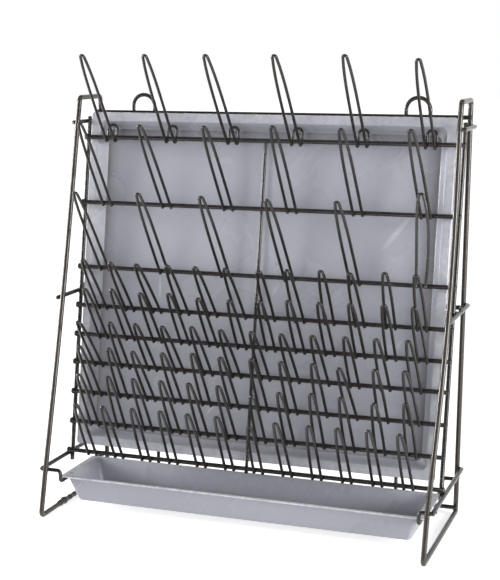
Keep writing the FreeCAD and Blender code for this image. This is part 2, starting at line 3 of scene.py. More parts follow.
import bmesh
import bpy
import numpy as np
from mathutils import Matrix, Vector


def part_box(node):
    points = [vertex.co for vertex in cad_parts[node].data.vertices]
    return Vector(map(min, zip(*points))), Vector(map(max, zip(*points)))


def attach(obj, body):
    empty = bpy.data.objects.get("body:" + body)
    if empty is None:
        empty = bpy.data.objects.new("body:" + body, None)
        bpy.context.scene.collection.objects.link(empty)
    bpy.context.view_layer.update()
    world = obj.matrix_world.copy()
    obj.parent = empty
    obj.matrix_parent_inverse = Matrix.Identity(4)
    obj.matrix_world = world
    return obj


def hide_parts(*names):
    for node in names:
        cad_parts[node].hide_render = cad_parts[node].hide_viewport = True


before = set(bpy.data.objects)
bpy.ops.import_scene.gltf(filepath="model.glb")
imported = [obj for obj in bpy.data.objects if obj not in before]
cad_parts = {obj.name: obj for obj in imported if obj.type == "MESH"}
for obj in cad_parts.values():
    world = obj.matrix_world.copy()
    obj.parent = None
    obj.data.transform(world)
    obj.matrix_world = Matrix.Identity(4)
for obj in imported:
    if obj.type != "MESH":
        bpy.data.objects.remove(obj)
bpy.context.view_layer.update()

MM = 0.001
scene = bpy.context.scene
scene.view_settings.view_transform = "Standard"


# ---- End frames ----
# Each is one thick steel wire bent into a tall closed loop, butt-welded and dipped in a dark satin coating.
# The left one's weld is a lumpy bead on the foot. Both front legs have sprung a little to the right.

FRAME_WIRE = 5.2 * MM
FRAME_BEND = 4 * MM
FRAME_FOOT, FRAME_TOP = 162.3 * MM, 49.5 * MM
LEG_BOW = {"left": 1.5 * MM, "right": 4.3 * MM}
BOW_FROM, BOW_TO = 50 * MM, 402 * MM  # above the floor: the bottom and top struts
WELD_LUMPS = (  # behind the foot's front corner, reach along the wire, and swelling
    (43 * MM, 3.4 * MM, 0.34), (50 * MM, 2.6 * MM, 0.60), (55 * MM, 1.3 * MM, 0.28),
    (66 * MM, 0.9 * MM, 0.42), (76 * MM, 0.8 * MM, 0.30),
)
LUMP_SHIFT = (0.9, 1)  # sideways and up, of the swelling: the lumps grow out of the foot's upper side
# The frames carry the panel's coating, painted lighter as a painted sheen for the bright strips on their
# wire.
FRAME_COATING, FRAME_COATING_THIN = (0.040, 0.034, 0.029), (0.105, 0.090, 0.076)


def vector(*parts):
    return np.array(parts, float)


def unit(vectors):
    """Each vector divided by its own length."""
    return vectors / np.linalg.norm(vectors, axis=-1, keepdims=True)


def bent_route(corners, bends, steps=8):
    """Straight runs through the corners. Each inner corner is turned on the arc of its own radius that
    touches both runs: its centre lies on the corner's bisector, radius / sin(half the angle) away."""
    corners = np.asarray(corners, float)
    bends = np.broadcast_to(bends, len(corners) - 2)
    route = [corners[:1]]
    for before, corner, after, bend in zip(corners, corners[1:], corners[2:], bends):
        back, ahead = unit(before - corner), unit(after - corner)
        half = math.acos(np.clip(back @ ahead, -1, 1)) / 2
        start = corner + back * bend / math.tan(half)
        centre = corner + unit(back + ahead) * bend / math.sin(half)
        turn = np.linspace(0, math.pi - 2 * half, steps)[:, None]
        route.append(centre + (start - centre) * np.cos(turn) - back * bend * np.sin(turn))
    route.append(corners[-1:])
    return np.concatenate(route)


def divided(route, step):
    """The route with its long runs cut into equal parts of about `step`."""
    runs = np.diff(route, axis=0)
    counts = np.maximum(1, np.round(np.linalg.norm(runs, axis=1) / step)).astype(int)
    share = np.concatenate([np.arange(count) / count for count in counts])[:, None]
    points = np.repeat(route[:-1], counts, axis=0) + np.repeat(runs, counts, axis=0) * share
    return np.concatenate([points, route[-1:]])


def with_ends(route, radius, bead=1.0):
    """Rounds both ends with a drop of coating. Its radius is radius * bead * sin(turn) at a depth of
    0.7 * radius * bead * (1 - cos(turn)), until it is back at the wire's. Gives the route and its radii."""
    turn = np.linspace(0, math.pi - math.asin(1 / bead), 7)
    depth = 0.7 * radius * bead * (1 - np.cos(turn))[:, None]
    head = route[0] + unit(route[1] - route[0]) * depth
    tail = route[-1] + unit(route[-2] - route[-1]) * depth
    swell = radius * bead * np.sin(turn)
    neck = np.full(len(route) - 2, radius)
    return np.concatenate([head, route[1:-1], tail[::-1]]), np.concatenate([swell, neck, swell[::-1]])


def wire_surface(routes, radii, facing, around=16, looped=False):
    """Round wires along routes[wire, point]. At each point the ring is point + radius * (cos a * N + sin a
    * B), where T halves the two runs' directions, N is `facing` less its part along T, and B = T x N."""
    routes = np.asarray(routes, float)
    wires, points = routes.shape[:2]
    runs = unit(np.roll(routes, -1, axis=1) - routes)
    before = np.roll(runs, 1, axis=1)
    if not looped:
        before[:, 0], runs[:, -1] = runs[:, 0], before[:, -1]
    along = unit(before + runs)
    facing = np.broadcast_to(facing, routes.shape)
    normal = unit(facing - along * (facing * along).sum(-1, keepdims=True))
    side = np.cross(along, normal)
    turn = np.linspace(0, 2 * math.pi, around, endpoint=False)[:, None]
    spokes = normal[:, :, None] * np.cos(turn) + side[:, :, None] * np.sin(turn)
    radii = np.broadcast_to(radii, (wires, points))[:, :, None, None]
    corners = routes[:, :, None] + spokes * radii
    return corners.reshape(-1, 3), ring_faces(wires, points, around, looped)


def ring_faces(shapes, rings, around, looped=False):
    """Faces between neighbouring rings of corners[shape, ring, spoke], outward for rings that turn
    anticlockwise seen from ahead."""
    shape, ring, spoke = np.indices((shapes, rings if looped else rings - 1, around))
    pairs = ((ring, spoke), (ring, spoke + 1), (ring + 1, spoke + 1), (ring + 1, spoke))
    quads = [(shape * rings + r % rings) * around + s % around for r, s in pairs]
    return np.stack(quads, -1).reshape(-1, 4)


def joined(*surfaces):
    """Several (corners, faces) surfaces as one."""
    offsets = np.cumsum([0] + [len(corners) for corners, _ in surfaces[:-1]])
    faces = [quads + offset for (_, quads), offset in zip(surfaces, offsets)]
    return np.concatenate([corners for corners, _ in surfaces]), np.concatenate(faces)


def piece(name, surface, material, slot, nodes, **amounts):
    """A smooth mesh object of a surface, its poles and seams merged, that stands for CAD nodes. Each of
    `amounts` is a value for every corner of the surface, which its material reads by name."""
    mesh = bpy.data.meshes.new(name)
    mesh.from_pydata(surface[0].tolist(), [], surface[1].tolist())
    for label, values in amounts.items():
        mesh.attributes.new(label, "FLOAT", "POINT").data.foreach_set("value", values.ravel())
    shell = bmesh.new()
    shell.from_mesh(mesh)
    bmesh.ops.remove_doubles(shell, verts=shell.verts, dist=0.002 * MM)
    shell.to_mesh(mesh)
    shell.free()
    mesh.polygons.foreach_set("use_smooth", np.ones(len(mesh.polygons), bool))
    mesh.materials.append(material)
    made = bpy.data.objects.new(name, mesh)
    scene.collection.objects.link(made)
    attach(made, "root")
    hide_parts(*nodes)


def new_group(name, inputs, outputs):
    """A shader node group with its sockets, and its input and output nodes."""
    group = bpy.data.node_groups.new(name, "ShaderNodeTree")
    for label, kind in inputs:
        group.interface.new_socket(label, in_out="INPUT", socket_type=kind)
    for label, kind in outputs:
        group.interface.new_socket(label, in_out="OUTPUT", socket_type=kind)
    return group, group.nodes.new("NodeGroupInput"), group.nodes.new("NodeGroupOutput")


def node(tree, kind, links=(), **settings):
    """A node with its sockets set or linked by name or number, and its own properties set."""
    made = tree.nodes.new("ShaderNode" + kind)
    for key, setting in settings.items():
        setattr(made, key, setting)
    for socket, source in links:
        if isinstance(source, bpy.types.NodeSocket):
            tree.links.new(source, made.inputs[socket])
        else:
            made.inputs[socket].default_value = source
    return made


def noise(tree, place, scale, detail=2.0, roughness=0.5):
    links = [("Vector", place), ("Scale", scale), ("Detail", detail), ("Roughness", roughness)]
    return node(tree, "TexNoise", links).outputs["Fac"]


def ramp(tree, amount, low, high, to_low=0.0, to_high=1.0):
    """Maps low..high to to_low..to_high, held at both ends."""
    links = [(0, amount), (1, low), (2, high), (3, to_low), (4, to_high)]
    return node(tree, "MapRange", links).outputs[0]


def mixed(tree, amount, one, other):
    """Colour one turning into colour other."""
    links = [(0, amount), (6, one), (7, other)]
    return node(tree, "Mix", links, data_type="RGBA").outputs[2]


def combined(tree, operation, *values):
    return node(tree, "Math", list(enumerate(values)), operation=operation).outputs[0]


def skinned(name, group, colour, specular, strength, distance):
    """A material whose colour, roughness and fine height come from a group, and its group node."""
    material = bpy.data.materials.new(name)
    material.use_nodes = True
    material.diffuse_color = (*colour, 1)
    tree = material.node_tree
    shader, skin = tree.nodes["Principled BSDF"], node(tree, "Group", node_tree=group)
    sockets = [("Strength", strength), ("Distance", distance), ("Height", skin.outputs["Height"])]
    tree.links.new(skin.outputs["Colour"], shader.inputs["Base Color"])
    tree.links.new(skin.outputs["Roughness"], shader.inputs["Roughness"])
    tree.links.new(node(tree, "Bump", sockets).outputs["Normal"], shader.inputs["Normal"])
    shader.inputs["Specular IOR Level"].default_value = specular
    return material, skin


# The dipped coating: slightly uneven in gloss, with soft runs along the wire and a fine orange peel. It is
# thinner and paler in small patches, and a little dust lies on what faces up.
coating, given, put_out = new_group(
    "dipped_coating",
    [("Coating", "NodeSocketColor"), ("Thin", "NodeSocketColor")],
    [("Colour", "NodeSocketColor"), ("Roughness", "NodeSocketFloat"), ("Height", "NodeSocketFloat")],
)
place = node(coating, "TexCoord").outputs["Object"]
patches = ramp(coating, noise(coating, place, 210, 4, 0.6), 0.46, 0.72)
peel = noise(coating, place, 1300, 2)
runs = noise(coating, place, 160, 2)
upward = node(coating, "SeparateXYZ", [(0, node(coating, "NewGeometry").outputs["Normal"])]).outputs[2]
dust = ramp(coating, peel, 0.35, 0.7, 0.0, 0.15)
dust = combined(coating, "MULTIPLY", ramp(coating, upward, 0.45, 1.0), dust)
tint = mixed(coating, combined(coating, "MULTIPLY", patches, 0.3), given.outputs[0], given.outputs[1])
tint = mixed(coating, dust, tint, given.outputs[1])
coating.links.new(tint, put_out.inputs[0])
coating.links.new(ramp(coating, runs, 0.3, 0.7, 0.14, 0.26), put_out.inputs[1])
height = combined(coating, "MULTIPLY_ADD", runs, 2.0, peel)
coating.links.new(height, put_out.inputs[2])


def wire_coating(name, colour, thin):
    """Satin plastic skin on a wire."""
    material, skin = skinned(name, coating, colour, 0.55, 0.22, 0.05 * MM)
    skin.inputs["Coating"].default_value = (*colour, 1)
    skin.inputs["Thin"].default_value = (*thin, 1)
    return material


# The frames' coating is the panel's, lightened by a painted sheen.
frame_coating = wire_coating("frame_coating", FRAME_COATING, FRAME_COATING_THIN)

for side in ("left", "right"):
    low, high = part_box(f"end_frame_{side}")
    half = FRAME_WIRE / 2
    x, rear, floor_line, top = (low.x + high.x) / 2, high.y - half, low.z + half, high.z - half
    front_foot, rear_foot = vector(x, rear - FRAME_FOOT, floor_line), vector(x, rear, floor_line)
    rear_top, front_top = vector(x, rear, top), vector(x, rear - FRAME_TOP, top)
    middle = (front_foot + rear_foot) / 2
    loop = bent_route([middle, rear_foot, rear_top, front_top, front_foot, middle], FRAME_BEND)
    loop = divided(loop, 2 * MM)[:-1]
    # The bow is amount * sin(pi * rise) from strut to strut, on what is nearer to the front leg.
    rise = np.clip((loop[:, 2] - BOW_FROM) / (BOW_TO - BOW_FROM), 0, 1)
    leg_y = np.interp(loop[:, 2], (floor_line, top), (front_foot[1], front_top[1]))
    loop[:, 0] += LEG_BOW[side] * np.sin(math.pi * rise) * (loop[:, 1] < (leg_y + rear) / 2)
    radii = np.full(len(loop), half)
    if side == "left":
        on_foot = loop[:, 2] < floor_line + half
        for back, reach, swelling in WELD_LUMPS:
            away = (loop[:, 1] - front_foot[1] - back) / reach
            radii += half * swelling * np.exp(-(away ** 2)) * on_foot
    loop[:, [0, 2]] += np.maximum(radii - half, 0)[:, None] * LUMP_SHIFT
    surface = wire_surface(loop[None], radii, (1, 0, 0), looped=True)
    piece(f"coated_end_frame_{side}", surface, frame_coating, "coated_wire", [f"end_frame_{side}"])


# ---- Struts ----
# Six straight wires of the panel's gauge, cut a little longer than the end frames are deep and welded across
# the outside of both legs. They carry the panel in front and the back bars behind.

COATING, COATING_THIN = (0.0165, 0.0142, 0.0125), (0.052, 0.045, 0.038)
END_BEAD, STRUT_BEAD = 1.15, 1.0  # coating gathers on a cut end, and has run off the struts

panel_coating = wire_coating("panel_coating", COATING, COATING_THIN)


def node_corners(cad_node):
    """A node's own corners, rounded to a micrometre."""
    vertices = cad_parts[cad_node].data.vertices
    flat = np.empty(3 * len(vertices))
    vertices.foreach_get("co", flat)
    return flat.reshape(-1, 3).round(6)


def main_line(corners):
    """The middle of the corners, their main direction, and how far they reach along it."""
    middle = (corners.min(0) + corners.max(0)) / 2
    along = np.linalg.svd(corners - corners.mean(0), full_matrices=False)[2][0]
    return middle, along, np.abs((corners - middle) @ along).max()


def centre_line(cad_node):
    """Both ends of a rod's centre line."""
    middle, along, reach = main_line(np.unique(node_corners(cad_node), axis=0))
    return middle - along * reach, middle + along * reach


def leaning_line(cad_node, behind=-math.inf):
    """The same for a row of wires side by side: only their y and z count, and only where y is behind a
    limit. The lower end comes first."""
    corners = np.unique(node_corners(cad_node)[:, 1:], axis=0)
    middle, along, reach = main_line(corners[corners[:, 0] > behind])
    along = along * np.sign(along[1])
    return np.stack([vector(0, *(middle - along * reach)), vector(0, *(middle + along * reach))])


def straight_wire(line, diameter, facing, bead=END_BEAD):
    """A straight coated wire in the place of a CAD rod."""
    start, end = line
    steps = np.linspace(0, 1, 9)[:, None]
    route, radii = with_ends(start + (end - start) * steps, diameter / 2, bead)
    return wire_surface(route[None], radii, facing)


WEB_AROUND = 12


def webs(contacts, normals, alongs, radii, acrosses, other_radii, waist=1.15):
    """Coating gathered round the touching points of crossed wires. A web's ring at height h along the normal
    is contact + h N + q (cos a * W1 A + sin a * W2 B), with q = 1 - 0.22 sin(2a)^2. A and B are the wires'
    directions. W1 covers the other wire's chord at that height, and W2 the first wire's, both as shares of
    the radius that narrow from the waist to closed ends inside the wires."""
    contacts, normals, alongs, acrosses = np.broadcast_arrays(contacts, normals, alongs, acrosses)
    level = vector(-0.75, -0.7, -0.35, 0, 0.35, 0.7, 0.75)
    height = np.where(level < 0, level * radii, level * other_radii)
    closed = vector(0, 1, 1, 1, 1, 1, 0)
    wide = vector(0.8, 0.85, 0.95, waist, 0.92, 0.86, 0.8) * other_radii * closed
    deep = vector(0.8, 0.86, 0.92, waist, 0.95, 0.85, 0.8) * radii * closed
    turn = np.linspace(0, 2 * math.pi, WEB_AROUND, endpoint=False)
    drawn_in = 1 - 0.22 * np.sin(2 * turn) ** 2
    hand = np.sign((np.cross(alongs, acrosses) * normals).sum(-1))[:, None, None, None]
    rings = contacts[:, None, None] + normals[:, None, None] * height[:, None, None]
    rings = rings + alongs[:, None, None] * (wide[:, None] * np.cos(turn) * drawn_in)[..., None]
    rings = rings + hand * acrosses[:, None, None] * (deep[:, None] * np.sin(turn) * drawn_in)[..., None]
    return rings.reshape(-1, 3), ring_faces(len(contacts), len(level), WEB_AROUND)


def web_between(line, radius, other_line, other_radius, waist=1.0):
    """The web where two straight wires pass closest to each other."""
    (start, end), (other_start, other_end) = line, other_line
    along, across, apart = unit(end - start), unit(other_end - other_start), other_start - start
    slant = along @ across
    reach = (apart @ along - slant * (apart @ across)) / (1 - slant ** 2)
    other_reach = (slant * (apart @ along) - apart @ across) / (1 - slant ** 2)
    nearest, other_nearest = start + along * reach, other_start + across * other_reach
    normal = unit(other_nearest - nearest)
    contact = (nearest + normal * radius + other_nearest - normal * other_radius) / 2
    return webs(contact[None], normal[None], along[None], radius, across[None], other_radius, waist)


CROSS_WIRE = 4.5 * MM
CROSS = CROSS_WIRE / 2
lines = {}
for side in ("left", "right"):
    low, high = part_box(f"end_frame_{side}")
    x, rear, half = (low.x + high.x) / 2, high.y - FRAME_WIRE / 2, FRAME_WIRE / 2
    rear_leg = vector(x, rear, low.z), vector(x, rear, high.z)
    front_leg = vector(x, rear - FRAME_FOOT, low.z + half), vector(x, rear - FRAME_TOP, high.z - half)
    for level in ("top", "mid", "bottom"):
        strut = f"strut_{level}_{side}"
        lines[strut] = centre_line(strut)
        legs = [rear_leg] if level == "mid" else [rear_leg, front_leg]
        surface = straight_wire(lines[strut], CROSS_WIRE, (1, 0, 0), STRUT_BEAD)
        surface = joined(surface, *[web_between(lines[strut], CROSS, leg, half) for leg in legs])
        piece(f"coated_{strut}", surface, panel_coating, "coated_wire", [strut])
    lines[f"rear_leg_{side}"] = rear_leg


# ---- Uprights and peg bars ----
# Nine bars run across the rack in front of two side uprights and a thinner one in the middle, which lean back
# together. The bars are spot-welded to the uprights' fronts, and the side uprights to the struts.

CENTRE_WIRE = 3.5 * MM
BAR_BEAD, BAR_WAIST = 1.45, 1.25  # the bars carry more coating, at their ends and at the uprights
upright_wires = {"left": CROSS_WIRE, "right": CROSS_WIRE, "centre": CENTRE_WIRE}

for side, diameter in upright_wires.items():
    upright = f"upright_{side}"
    lines[upright] = centre_line(upright)
    surface = straight_wire(lines[upright], diameter, (1, 0, 0))
    for level in ("top", "mid", "bottom") if side != "centre" else ():
        surface = joined(surface, web_between(lines[upright], CROSS, lines[f"strut_{level}_{side}"], CROSS))
    piece(f"coated_{upright}", surface, panel_coating, "coated_wire", [upright])
for row in range(1, 10):
    bar = f"peg_bar_{row}"
    lines[bar] = centre_line(bar)
    surface = straight_wire(lines[bar], CROSS_WIRE, (0, 0, 1), BAR_BEAD)
    for side, diameter in upright_wires.items():
        web = web_between(lines[bar], CROSS, lines[f"upright_{side}"], diameter / 2, BAR_WAIST)
        surface = joined(surface, web)
    piece(f"coated_{bar}", surface, panel_coating, "coated_wire", [bar])


# ---- Pegs of rows 2 to 9 ----
# Thin wire hairpins, welded by both legs to the front of their bar and standing up and forward. The tip is
# bent round a small mandrel and the legs spread below it. No two stand alike, and some have been knocked.

PEG_WIRE = 3 * MM
PEG = PEG_WIRE / 2
PEG_SEAT = CROSS + PEG
PEG_STUB = 1.0 * MM
PEG_BASE, PEG_TIP = 4.7 * MM, 1.95 * MM  # half the gap between the legs' centre lines
SPREAD = 22 * MM  # the legs' gap settles over this length
LEG_START = 3 * MM  # up from the bar's middle, where a leg's even steps begin
PEG_BEAD = 1.2
SWAY = {"short": 0.7, "long": 0.5}  # degrees
NOD = {"short": 0.6, "long": 0.5}
KNOCKED = {  # row and peg from the left: the tip to the right, and the legs up, in degrees
    (2, 0): (1.5, 0), (2, 5): (-1.3, 0),
    (4, 0): (0, 1.5), (4, 6): (2.3, 0), (4, 8): (1.9, 3.5), (4, 10): (1.9, 5), (4, 11): (1.1, 4.5),
    (5, 4): (0.8, -2), (5, 5): (2.3, -2), (5, 6): (2.3, -1),
    (6, 1): (3.4, 0),
    (7, 1): (1.9, 0), (7, 9): (-3.0, -1), (7, 11): (-1.9, 1),
    (8, 1): (2.3, 0), (8, 2): (0, 0), (8, 6): (3.8, -6), (8, 10): (1.5, -3),
    (9, 6): (3.8, -6), (9, 10): (-1.5, 1), (9, 11): (-1.9, 0),
}
ROW_TWIST = {4: 3.5, 5: 3.0, 6: 2.5, 7: 1.0}  # degrees that the last peg is turned up over the first ones
chance = np.random.default_rng(7)


def bar_axis(row):
    low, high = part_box(f"peg_bar_{row}")
    return vector(0, (low.y + high.y) / 2, (low.z + high.z) / 2)


def leg_curve(length, foot):
    """One leg of a hairpin in its own plane, v from the foot to below the crown and the half gap
    base - (base - tip) * exp(-(shoulder - v) / spread), and the crown's quarter circle after it."""
    shoulder = length - PEG - PEG_TIP
    v = np.concatenate([[foot], np.linspace(LEG_START, shoulder, 11)])
    half = PEG_BASE - (PEG_BASE - PEG_TIP) * np.exp(-(shoulder - v) / SPREAD)
    turn = np.linspace(0, math.pi / 2, 7)[1:]
    half = np.concatenate([half, PEG_TIP * np.cos(turn)])
    return np.stack([half, np.concatenate([v, shoulder + PEG_TIP * np.sin(turn)])], -1)


def standing(outline, radii, row, lean, centres, sway):
    """Copies of a peg's outline on a bar. Each copy is turned in its plane by its sway about its foot, its
    plane leans by its own angle, and its legs touch the bar's front."""
    up = np.stack([0 * lean, -np.cos(lean), np.sin(lean)], -1)
    seat = np.stack([0 * lean, -np.sin(lean), -np.cos(lean)], -1) * PEG_SEAT
    u = outline[:, 0] * np.cos(sway)[:, None] + outline[:, 1] * np.sin(sway)[:, None]
    v = outline[:, 1] * np.cos(sway)[:, None] - outline[:, 0] * np.sin(sway)[:, None]
    routes = (bar_axis(row) + seat)[:, None] + up[:, None] * v[..., None]
    routes[..., 0] = centres[:, None] + u
    return wire_surface(routes, radii, seat[:, None], around=12)


def leg_webs(row, lean, centres, half_gap):
    """The webs where both legs of each peg touch the bar."""
    lean, x = np.tile(lean, 2), np.concatenate([centres - half_gap, centres + half_gap])
    outward = np.stack([0 * lean, -np.sin(lean), -np.cos(lean)], -1)
    up = np.stack([0 * lean, -np.cos(lean), np.sin(lean)], -1)
    contacts = bar_axis(row) + outward * CROSS
    contacts[:, 0] = x
    return webs(contacts, outward, vector(1, 0, 0)[None], CROSS, up, PEG)


def row_lean(line):
    """How far a row's legs stand above horizontal, and their length from below the bar to the tip."""
    rise = line[1] - line[0]
    return math.atan2(rise[2], -rise[1]), np.linalg.norm(rise)


for row in range(2, 10):
    pegs = f"pegs_row_{row}"
    kind, count = ("long", 6 if row == 2 else 5) if row < 4 else ("short", 12)
    lean, reach = row_lean(leaning_line(pegs))
    leg = leg_curve(reach - PEG_STUB - PEG / 2, -PEG_STUB)
    outline, radii = with_ends(np.concatenate([leg * [-1, 1], leg[-2::-1]]), PEG, PEG_BEAD)
    low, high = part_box(pegs)
    centres = np.linspace(low.x + PEG_BASE + PEG, high.x - PEG_BASE - PEG, count)
    sways, nods = chance.normal(0, (SWAY[kind], NOD[kind]), (count, 2)).T
    nods += ROW_TWIST.get(row, 0) * np.clip(np.linspace(-0.3, 1, count), 0, 1)
    for (knocked_row, peg), (right, up) in KNOCKED.items():
        if knocked_row == row:
            sways[peg], nods[peg] = right, up
    sways, leans = np.radians(sways), lean + np.radians(nods)
    surface = standing(outline, radii, row, leans, centres, sways)
    surface = joined(surface, leg_webs(row, leans, centres, PEG_BASE))
    piece(f"coated_{pegs}", surface, panel_coating, "coated_wire", [pegs])


# ---- Bent peg of row 3 ----
# The last long peg on the right has been knocked almost upright, and its right leg bows outward. It is the
# same wire as its neighbours, so it gets the same coating and welds.

BENT_BOW, LEFT_SHARE = 3.0 * MM, 0.2  # of the right leg outward, and how much of it the left leg shares
BENT_TIP = 2.1 * MM
BENT_SPREAD = 10 * MM

lean, reach = row_lean(leaning_line("peg_row_3_bent"))
low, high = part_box("peg_row_3_bent")
length = reach - PEG_STUB - PEG / 2
shoulder = length - PEG - BENT_TIP
v = np.concatenate([[-PEG_STUB], np.linspace(LEG_START, shoulder, 14)])
drawn = (PEG_BASE - BENT_TIP) * np.exp(-(shoulder - v) / BENT_SPREAD)
bow = BENT_BOW * np.sin(math.pi * np.clip(v / length, 0, 1))
turn = np.linspace(math.pi, 0, 13)[1:-1]
crown = np.stack([BENT_TIP * np.cos(turn), shoulder + BENT_TIP * np.sin(turn)], -1)
left_leg = np.stack([-PEG_BASE + drawn + bow * LEFT_SHARE, v], -1)
right_leg = np.stack([PEG_BASE - drawn + bow, v], -1)
crown[:, 0] += np.linspace(left_leg[-1, 0] + BENT_TIP, right_leg[-1, 0] - BENT_TIP, len(crown))
outline, radii = with_ends(np.concatenate([left_leg, crown, right_leg[::-1]]), PEG, PEG_BEAD)
centre = vector(low.x + PEG_BASE + PEG)
surface = standing(outline, radii, 3, vector(lean), centre, vector(0))
surface = joined(surface, leg_webs(3, vector(lean), centre, PEG_BASE))
piece("coated_peg_row_3_bent", surface, panel_coating, "coated_wire", ["peg_row_3_bent"])


# ---- Hooked pegs of row 1 ----
# Closed wires. Each stands up in front like the other long pegs, runs down round the bottom of bar 1 and
# turns up behind it into a short loop, which reaches under the back tray's upper edge.

LOOP_HALF = 4.9 * MM  # half the gap between the rear loop's sides
HOOK_SWAY = np.radians(vector(1.6, 1.3, -1.0, -0.3, 0.0, 1.0))
HOOK_NOD = np.radians(vector(-0.4, -0.4, -0.4, -0.5, -0.5, -3.2))  # up
HOOK_LEAN = math.radians(51.8)  # of the front part, above horizontal
NOD_REACH = 6 * MM  # above the bar, where the front part is turned up fully
WEB_TURN = 0.6  # radians that the webs sit further up the bar's front than the foot of each leg

axis = bar_axis(1)
low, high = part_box("pegs_row_1")
lower, apex = leaning_line("pegs_row_1", behind=axis[1] + 2 * PEG_SEAT)
rearward = unit(apex - lower)
under = vector(0, rearward[2], -rearward[1])
run = (apex - axis) @ rearward - PEG
lean_sin, lean_cos = math.sin(HOOK_LEAN), math.cos(HOOK_LEAN)
forward, below = vector(0, -lean_cos, lean_sin), vector(0, -lean_sin, -lean_cos)
length = (high.z - axis[2] + PEG_SEAT * lean_cos) / lean_sin
# Half of the route, on the left of the middle plane: from the tip down the front leg, round the bar's
# bottom at PEG_SEAT from its axis, and up the rear side to the loop's quarter circle. The rest mirrors it.
leg = leg_curve(length, LEG_START)[1:]
front_part = axis + below * PEG_SEAT + forward * leg[::-1, 1:]
front_part[:, 0] = -leg[::-1, 0]
start, end = math.atan2(below[2], below[1]), math.atan2(under[2], under[1])
start -= 2 * math.pi * (start > end)
turn = np.linspace(start, end, 9)
share = np.linspace(0, 1, 9)
round_bar = axis + PEG_SEAT * np.stack([0 * turn, np.cos(turn), np.sin(turn)], -1)
round_bar[:, 0] = -PEG_BASE + (PEG_BASE - LOOP_HALF) * share
quarter = np.linspace(0, math.pi / 2, 8)
side = run - LOOP_HALF
v = np.concatenate([np.linspace(0, side, 4)[1:], side + LOOP_HALF * np.sin(quarter[1:])])
rear_part = axis + under * PEG_SEAT + rearward * v[:, None]
rear_part[:, 0] = -np.concatenate([np.full(3, LOOP_HALF), LOOP_HALF * np.cos(quarter[1:])])
half_route = np.concatenate([front_part, round_bar, rear_part])
outward = np.concatenate([
    np.repeat(below[None], len(front_part), 0), unit(round_bar * [0, 1, 1] - axis),
    np.repeat(under[None], len(rear_part), 0),
])
route = np.concatenate([half_route, (half_route * [-1, 1, 1])[-2:0:-1]])
facing = np.concatenate([outward, outward[-2:0:-1]])
# Each copy sways by its height up the front part, and what is in front is turned up about the bar's axis.
up_front = np.maximum((route - axis) @ forward, 0)
centres = np.linspace(low.x + PEG_BASE + PEG, high.x - PEG_BASE - PEG, 6)
routes = np.repeat(route[None], 6, axis=0)
routes[..., 0] += centres[:, None] + up_front * np.sin(HOOK_SWAY)[:, None]
nod = HOOK_NOD[:, None] * np.clip(up_front / NOD_REACH, 0, 1)
y, z = routes[..., 1] - axis[1], routes[..., 2] - axis[2]
routes[..., 1] = axis[1] + y * np.cos(nod) + z * np.sin(nod)
routes[..., 2] = axis[2] + z * np.cos(nod) - y * np.sin(nod)
surface = wire_surface(routes, PEG, facing, around=12, looped=True)
surface = joined(surface, leg_webs(1, np.full(6, HOOK_LEAN + WEB_TURN), centres, PEG_BASE))
piece("coated_pegs_row_1", surface, panel_coating, "coated_wire", ["pegs_row_1"])


# ---- Back bars, tray bar and hanger wires ----
# Three bars cross the rear legs inside the loops. Two thinner wires run up behind them, over in an arch for a
# wall hook, and end on the top bar. The bar that the back tray leans on lies on the middle struts.

HANGER_WIRE = 4 * MM
HANGER = HANGER_WIRE / 2
HANGER_BEND = 12 * MM

for level in ("top", "mid", "bottom"):
    bar = f"back_bar_{level}"
    lines[bar] = centre_line(bar)
    surface = straight_wire(lines[bar], CROSS_WIRE, (0, 0, 1))
    for side in ("left", "right"):
        surface = joined(surface, web_between(lines[bar], CROSS, lines[f"rear_leg_{side}"], FRAME_WIRE / 2))
    piece(f"coated_{bar}", surface, panel_coating, "coated_wire", [bar])

rest = centre_line("tray_rest_bar")
surface = straight_wire(rest, CROSS_WIRE, (0, 0, 1))
for side in ("left", "right"):
    surface = joined(surface, web_between(rest, CROSS, lines[f"strut_mid_{side}"], CROSS))
piece("coated_tray_rest_bar", surface, panel_coating, "coated_wire", ["tray_rest_bar"])

for side in ("left", "right"):
    hanger = f"hanger_wire_{side}"
    low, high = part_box(hanger)
    y, apex_z = (low.y + high.y) / 2, high.z - HANGER
    inner, outer = sorted((low.x + HANGER, high.x - HANGER), key=abs)
    end_z = lines["back_bar_top"][0][2] - CROSS
    corners = [(inner, y, low.z), (inner, y, apex_z), (outer, y, apex_z), (outer, y, end_z)]
    route, radii = with_ends(bent_route(corners, HANGER_BEND, 14), HANGER, END_BEAD)
    surface = wire_surface(route[None], radii, (0, 1, 0))
    for level in ("top", "mid", "bottom"):
        upright_run = vector(inner, y, low.z), vector(inner, y, high.z)
        surface = joined(surface, web_between(lines[f"back_bar_{level}"], CROSS, upright_run, HANGER))
    outer_run = vector(outer, y, end_z), vector(outer, y, high.z)
    surface = joined(surface, web_between(lines["back_bar_top"], CROSS, outer_run, HANGER))
    piece(f"coated_{hanger}", surface, panel_coating, "coated_wire", [hanger])


# ---- Drip tray rails ----
# One bent wire on each side, welded by both ends under the bottom strut. It turns in, drops and runs level
# from front to back, so that the drip tray's flange lies on it.

RAIL_BEND = 3.5 * MM

